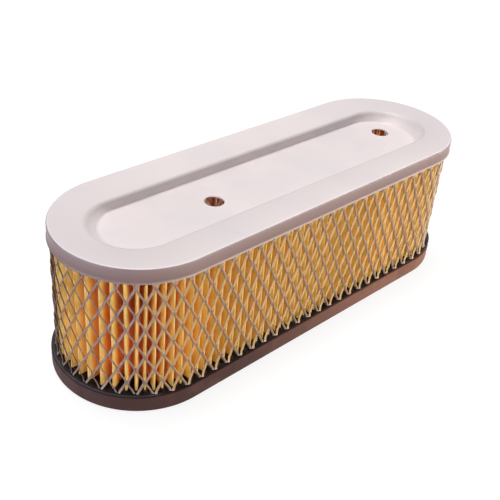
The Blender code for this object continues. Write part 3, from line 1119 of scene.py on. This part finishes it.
@dataclass
class BaseCompound(Piece):
    """Black compound in the base: below its wall's edge, over it at the overflow, and climbing each fold."""

    pleats: Pleats
    overflow: Overflow = Overflow()
    shore: float = 0.0012
    edge_round: float = 0.0003
    climb: float = 0.0007
    climb_reach: float = 0.0005
    uneven: float = 0.00008
    waves: tuple[Wave, ...] = ((5, 1.0, 0.0), (11, 0.8, 1.0), (23, 0.6, 2.0))
    lip_height: float = 0.0011
    lip_width: float = 0.0013
    lip_in: float = 0.3
    run_width: float = 0.0012
    hub_gap: float = 0.0020
    edge_points: int = 6
    level_points: int = 33
    per_fold: int = 12
    name, node, slot = "black_compound", "bottom_potting", Slot.BASE_COMPOUND
    finish = CompoundFinish("black_compound")

    def __post_init__(self) -> None:
        """Find the compound's shore inside the base's wall and its edge at the open middle."""
        super().__post_init__()
        base = Extent.of("base_gasket")
        self.base_top, self.base_radius = base.top, base.radius
        self.edge = self.base_radius - self.shore
        self.inside = self.pleats.root - self.hub_gap

    def line(self) -> Array:
        """The closed profile where nothing ran over, from the upper edge inwards and back underneath.

        Returns:
            Points of radius and height.
        """
        edge, small = self.edge, self.edge_round
        turn = np.linspace(0.0, SQUARE, self.edge_points)
        lip = arc((edge - small, self.top - small), small, turn)
        across = np.linspace(edge - small, self.inside, self.level_points + 1)[1:]
        level = stacked(across, self.top)
        under = np.array([(self.inside, self.bottom), (edge, self.bottom), (edge, self.base_top)])
        return np.concatenate([lip, level, under])

    def level(self, place: Array, radius: Array) -> Array:
        """How far the poured level stands above the floor.

        It climbs the paper as a bell over the distance from the fold's wall, which leans evenly from tip to
        root, and it is uneven by three slow waves.

        Args:
            place: Place along the pack, in folds.
            radius: Distance from the spine.

        Returns:
            The height at each place and radius.
        """
        pack = self.pleats
        aside = np.abs(np.mod(place + 0.5, 1.0) - 0.5) * pack.pitch
        share = np.clip((pack.tip - radius) / (pack.tip - pack.root), 0.0, 1.0)
        wall = pack.fold + share * (pack.pitch / 2 - 2 * pack.fold)
        beyond = np.maximum(radius - pack.tip, 0.0) + np.maximum(pack.root - radius, 0.0)
        climb = self.climb * bell(np.hypot(aside - wall, beyond), self.climb_reach)
        waves = waves_at(2 * math.pi * place / pack.count, self.waves)
        return climb + self.uneven * waves.sum(axis=0)

    def surface(self) -> Surface:
        """The profile carried round the pack at the poured level.

        At the overflow the outer edge moves out by its share, and a lip rises there as a bell.

        Returns:
            The compound's surface.
        """
        profile = self.line()
        place = np.arange(self.pleats.count * self.per_fold) / self.per_fold
        stations = self.outline.along(self.pleats.tip_places(place), self.pleats.middle)
        over = self.overflow.share(stations, self.base_radius)[None, :]
        rest, height = profile[:, :1], profile[:, 1:]
        outer = smooth_step((rest - self.edge + self.run_width) / self.run_width)
        radius = rest + (self.radius - self.edge) * over * outer * (height >= self.base_top)
        free = smooth_step((height - self.base_top) / (self.top - self.base_top))
        lip = self.lip_height * over * bell(rest - self.edge + self.lip_in * self.lip_width, self.lip_width)
        z = height + free * (self.level(place[None, :], rest) + lip)
        return Surface.grid(stations.points(radius, z), wrap_rows=True, wrap_columns=True)


@dataclass
class CapCompound(Piece):
    """Bed of compound in the cap's channel, seen only from below."""

    stations: int = 420
    uneven: float = 0.00015
    waves: tuple[Wave, ...] = ((9, 1.0, 0.0), (31, 0.5, 0.7))
    soft: float = 0.0005
    clear: float = 0.0001
    arc_points: int = 6
    name, node, slot = "cap_compound", "top_potting", Slot.CAP_COMPOUND
    finish = CompoundFinish("cap_compound", body=(0.026, 0.024, 0.026))

    def surface(self) -> Surface:
        """A rounded bar round the channel whose lower side is uneven by two slow waves, folded upwards.

        Returns:
            The bed's surface.
        """
        inner, outer = Extent.of("inner_screen").radius + self.clear, self.radius
        corners = np.array([(inner, self.bottom), (outer, self.bottom), (outer, self.top), (inner, self.top)])
        profile = rounded_profile(corners, np.full(4, self.soft), self.arc_points)
        turn = np.arange(self.stations) / self.stations * 2 * math.pi
        waves = np.abs(waves_at(turn, self.waves)).sum(axis=0)
        low = smooth_step((self.top - profile[:, 1]) / (self.top - self.bottom))[:, None]
        z = profile[:, 1:] + self.uneven * waves[None, :] * low
        points = self.outline.even(self.stations, outer).points(profile[:, :1], z)
        return Surface.grid(points, wrap_rows=True, wrap_columns=True)


@dataclass
class RubberBase(Piece):
    """Brown moulded base: a shallow tray round the open middle, its wall standing above the compound."""

    overflow: Overflow = Overflow()
    wall: float = 0.0013
    rise: float = 0.0009
    floor: float = 0.0022
    lower_round: float = 0.0010
    upper_round: float = 0.00035
    small_round: float = 0.00025
    # Where along the base the painted light towards the far end begins.
    far_light_from: float = 0.8
    hub_gap: float = 0.0020
    hub_wall: float = 0.0010
    arc_points: int = 7
    stations: int = 480
    name, node, slot = "rubber_base", "base_gasket", Slot.BASE
    finish = RubberFinish("brown_rubber")

    def surface(self) -> Surface:
        """The tray's section, its corners rounded, carried round the open middle.

        Its wall stands higher by the rise, and drops by a smooth step where the compound ran over.

        Returns:
            The base's surface.
        """
        hub = Extent.of("inner_screen").radius - self.hub_gap
        inner, outer = hub - self.hub_wall, self.radius
        floor = self.bottom + self.floor
        corners = np.array([(inner, self.bottom), (outer, self.bottom), (outer, self.top),
                            (outer - self.wall, self.top), (outer - self.wall, floor), (hub, floor),
                            (hub, self.top), (inner, self.top)])
        small, upper = self.small_round, self.upper_round
        radii = np.array([2 * small, self.lower_round, upper, upper, small, small, small, small])
        profile = rounded_profile(corners, radii, self.arc_points)
        stations = self.outline.even(self.stations, self.radius)
        over = self.overflow.share(stations, self.radius)[None, :]
        raised = (profile[:, :1] > outer - self.wall - small) * smooth_step(profile[:, 1:] / self.top)
        z = profile[:, 1:] + self.rise * raised * (1 - over)
        points = stations.points(profile[:, :1], z)
        half = self.outline.half_straight
        # The share of painted light, growing towards the far end.
        far = smooth_step((points[..., 0] + self.far_light_from * half) / ((1 + self.far_light_from) * half))
        return Surface.grid(points, wrap_rows=True, wrap_columns=True, far=far)


@dataclass(frozen=True)
class Lamp:
    """A lamp: where it stands, the point that it faces, its power and colour, and its kind's own fields."""

    name: str
    kind: LampKind
    place: Place
    aim: Place
    power: float
    colour: Colour
    fields: dict[str, object]

    def data(self) -> bpy.types.Light:
        """The lamp's data, as Blender keeps it."""
        made = bpy.data.lights.new(self.name, self.kind.value)
        for label, value in {"energy": self.power, "color": self.colour, **self.fields}.items():
            setattr(made, label, value)
        return made


@dataclass
class Studio:
    """Floor, light and camera: broad light from above, low strips that fill the folds, and a faint glow in the
    chamber for the light that the paper lets in.
    """

    eye: Place = (-0.2182, -0.1983, 0.2144)
    aim: Place = (-0.00826, 0.00149, 0.02419)
    roll: float = 5.40
    lens: float = 57.2
    sensor: float = 36.0
    nearest: float = 0.01
    floor_reach: float = 4.0
    floor_gap: float = 0.00005
    floor_colour: Colour = (0.85, 0.84, 0.83)
    shown_colour: Colour = (0.20, 0.20, 0.20)
    shown_glow: float = 0.85
    sky_colour: Colour = (0.97, 0.98, 1.0)
    sky: float = 0.14
    lamps: tuple[Lamp, ...] = (
        Lamp("overhead", LampKind.BROAD, (0.03, 0.17, 1.0), ORIGIN, 2.71, (1.0, 0.985, 0.98),
             {"angle": math.radians(30.0)}),
        Lamp("front_strip", LampKind.STRIP, (0.28, -0.55, 0.034), (0.0, 0.0, 0.034), 7.6, (1.0, 0.96, 0.91),
             {"shape": "RECTANGLE", "size": 1.2, "size_y": 0.05}),
        Lamp("left_strip", LampKind.STRIP, (-0.66, 0.10, 0.034), (0.0, 0.0, 0.034), 3.75, (0.88, 0.98, 1.24),
             {"shape": "RECTANGLE", "size": 0.8, "size_y": 0.05}),
        Lamp("near_glow", LampKind.GLOW, (-0.066, 0.0, 0.022), ORIGIN, 0.054, (1.0, 1.05, 1.05),
             {"shadow_soft_size": 0.008}),
        Lamp("far_glow", LampKind.GLOW, (0.045, 0.0, 0.022), ORIGIN, 0.052, (1.0, 1.05, 1.05),
             {"shadow_soft_size": 0.008}))

    def stand(self, data: bpy.types.ID, place: Place, aim: Place, roll: float = 0.0) -> bpy.types.Object:
        """Put a lamp or a camera somewhere and point it.

        Args:
            data: The lamp's or the camera's data.
            place: Where it stands.
            aim: The point that it faces.
            roll: Turn about its own axis, in degrees.

        Returns:
            The object, linked to the scene.
        """
        thing = bpy.data.objects.new(data.name, data)
        bpy.context.scene.collection.objects.link(thing)
        look = (Vector(aim) - Vector(place)).to_track_quat("-Z", "Y").to_matrix().to_4x4()
        turned = look @ Matrix.Rotation(math.radians(roll), 4, "Z")
        thing.matrix_world = Matrix.Translation(place) @ turned
        return thing

    def camera(self) -> None:
        """A level look from the eye to the aim, rolled about its own axis."""
        data = bpy.data.cameras.new("camera")
        data.lens, data.sensor_width, data.clip_start = self.lens, self.sensor, self.nearest
        bpy.context.scene.camera = self.stand(data, self.eye, self.aim, self.roll)

    def seen(self, graph: ShaderGraph) -> Socket:
        """1 on the rays that show the background: from the camera, a reflection or through glass."""
        path = graph.add("LightPath").outputs
        mirrored = graph.math("MAXIMUM", path["Is Camera Ray"], path["Is Glossy Ray"])
        return graph.math("MAXIMUM", mirrored, path["Is Transmission Ray"])

    def floor(self) -> None:
        """A pale floor that shows white and keeps the shadow."""
        material = bpy.data.materials.new("pale_floor")
        graph = ShaderGraph(material)
        lit = graph.add("BsdfDiffuse", {"Color": (*self.floor_colour, 1.0)})
        shade = graph.add("BsdfDiffuse", {"Color": (*self.shown_colour, 1.0)})
        glow = graph.add("Emission", {"Strength": self.shown_glow})
        shown = graph.add("AddShader", {0: shade.outputs[0], 1: glow.outputs[0]})
        graph.mixed(self.seen(graph), lit, shown)
        side = np.array([-self.floor_reach, self.floor_reach])
        corners = stacked(side, side[:, None], -self.floor_gap)
        floor = Surface.grid(corners).object("floor", material, Piece.sharp)

    def world(self) -> None:
        """An even sky that lights softly and shows white."""
        world = bpy.data.worlds.new("studio")
        bpy.context.scene.world = world
        graph = ShaderGraph(world)
        sky = graph.add("Background", {"Color": (*self.sky_colour, 1.0), "Strength": self.sky})
        white = graph.add("Background", {"Color": (1.0, 1.0, 1.0, 1.0), "Strength": 1.0})
        graph.mixed(self.seen(graph), sky, white, "OutputWorld")

    def build(self) -> None:
        """Set the studio up round the cartridge."""
        bpy.context.scene.view_settings.view_transform = "Standard"
        self.floor()
        self.world()
        for lamp in self.lamps:
            self.stand(lamp.data(), lamp.place, lamp.aim)
        self.camera()


def main() -> None:
    """Build the cartridge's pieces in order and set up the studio."""
    logging.basicConfig(level=logging.INFO, format="%(name)s: %(message)s")
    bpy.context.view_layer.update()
    pleats = Pleats()
    outer_zinc = StrandFinish("outer_zinc", bright=(0.222, 0.139, 0.101), dull=(0.140, 0.086, 0.064))
    inner_zinc = StrandFinish("inner_zinc", bright=(0.50, 0.46, 0.46), dull=(0.33, 0.30, 0.30))
    outer = ExpandedSleeve("screen_sleeve", "outer_screen", Slot.SCREEN, columns=72, row_height=0.00605,
                           first_row=0.0064, first_tip=0.00190, strand=0.00094, sheet=0.00034, tilt=32.0,
                           bond=0.15, finish=outer_zinc, splay=0.0007)
    inner = ExpandedSleeve("core_sleeve", "inner_screen", Slot.CORE, columns=24, row_height=0.0142,
                           first_row=0.0066, first_tip=0.0140, strand=0.0014, sheet=0.0005, tilt=12.0,
                           bond=0.20, finish=inner_zinc)
    pieces: list[Piece] = [RubberBase(), BaseCompound(pleats), inner, pleats, SeamStrip(), outer,
                           CapCompound(), SteelCap()]
    for piece in pieces:
        piece.make()
    Studio().build()


if __name__ == "__main__":
    main()
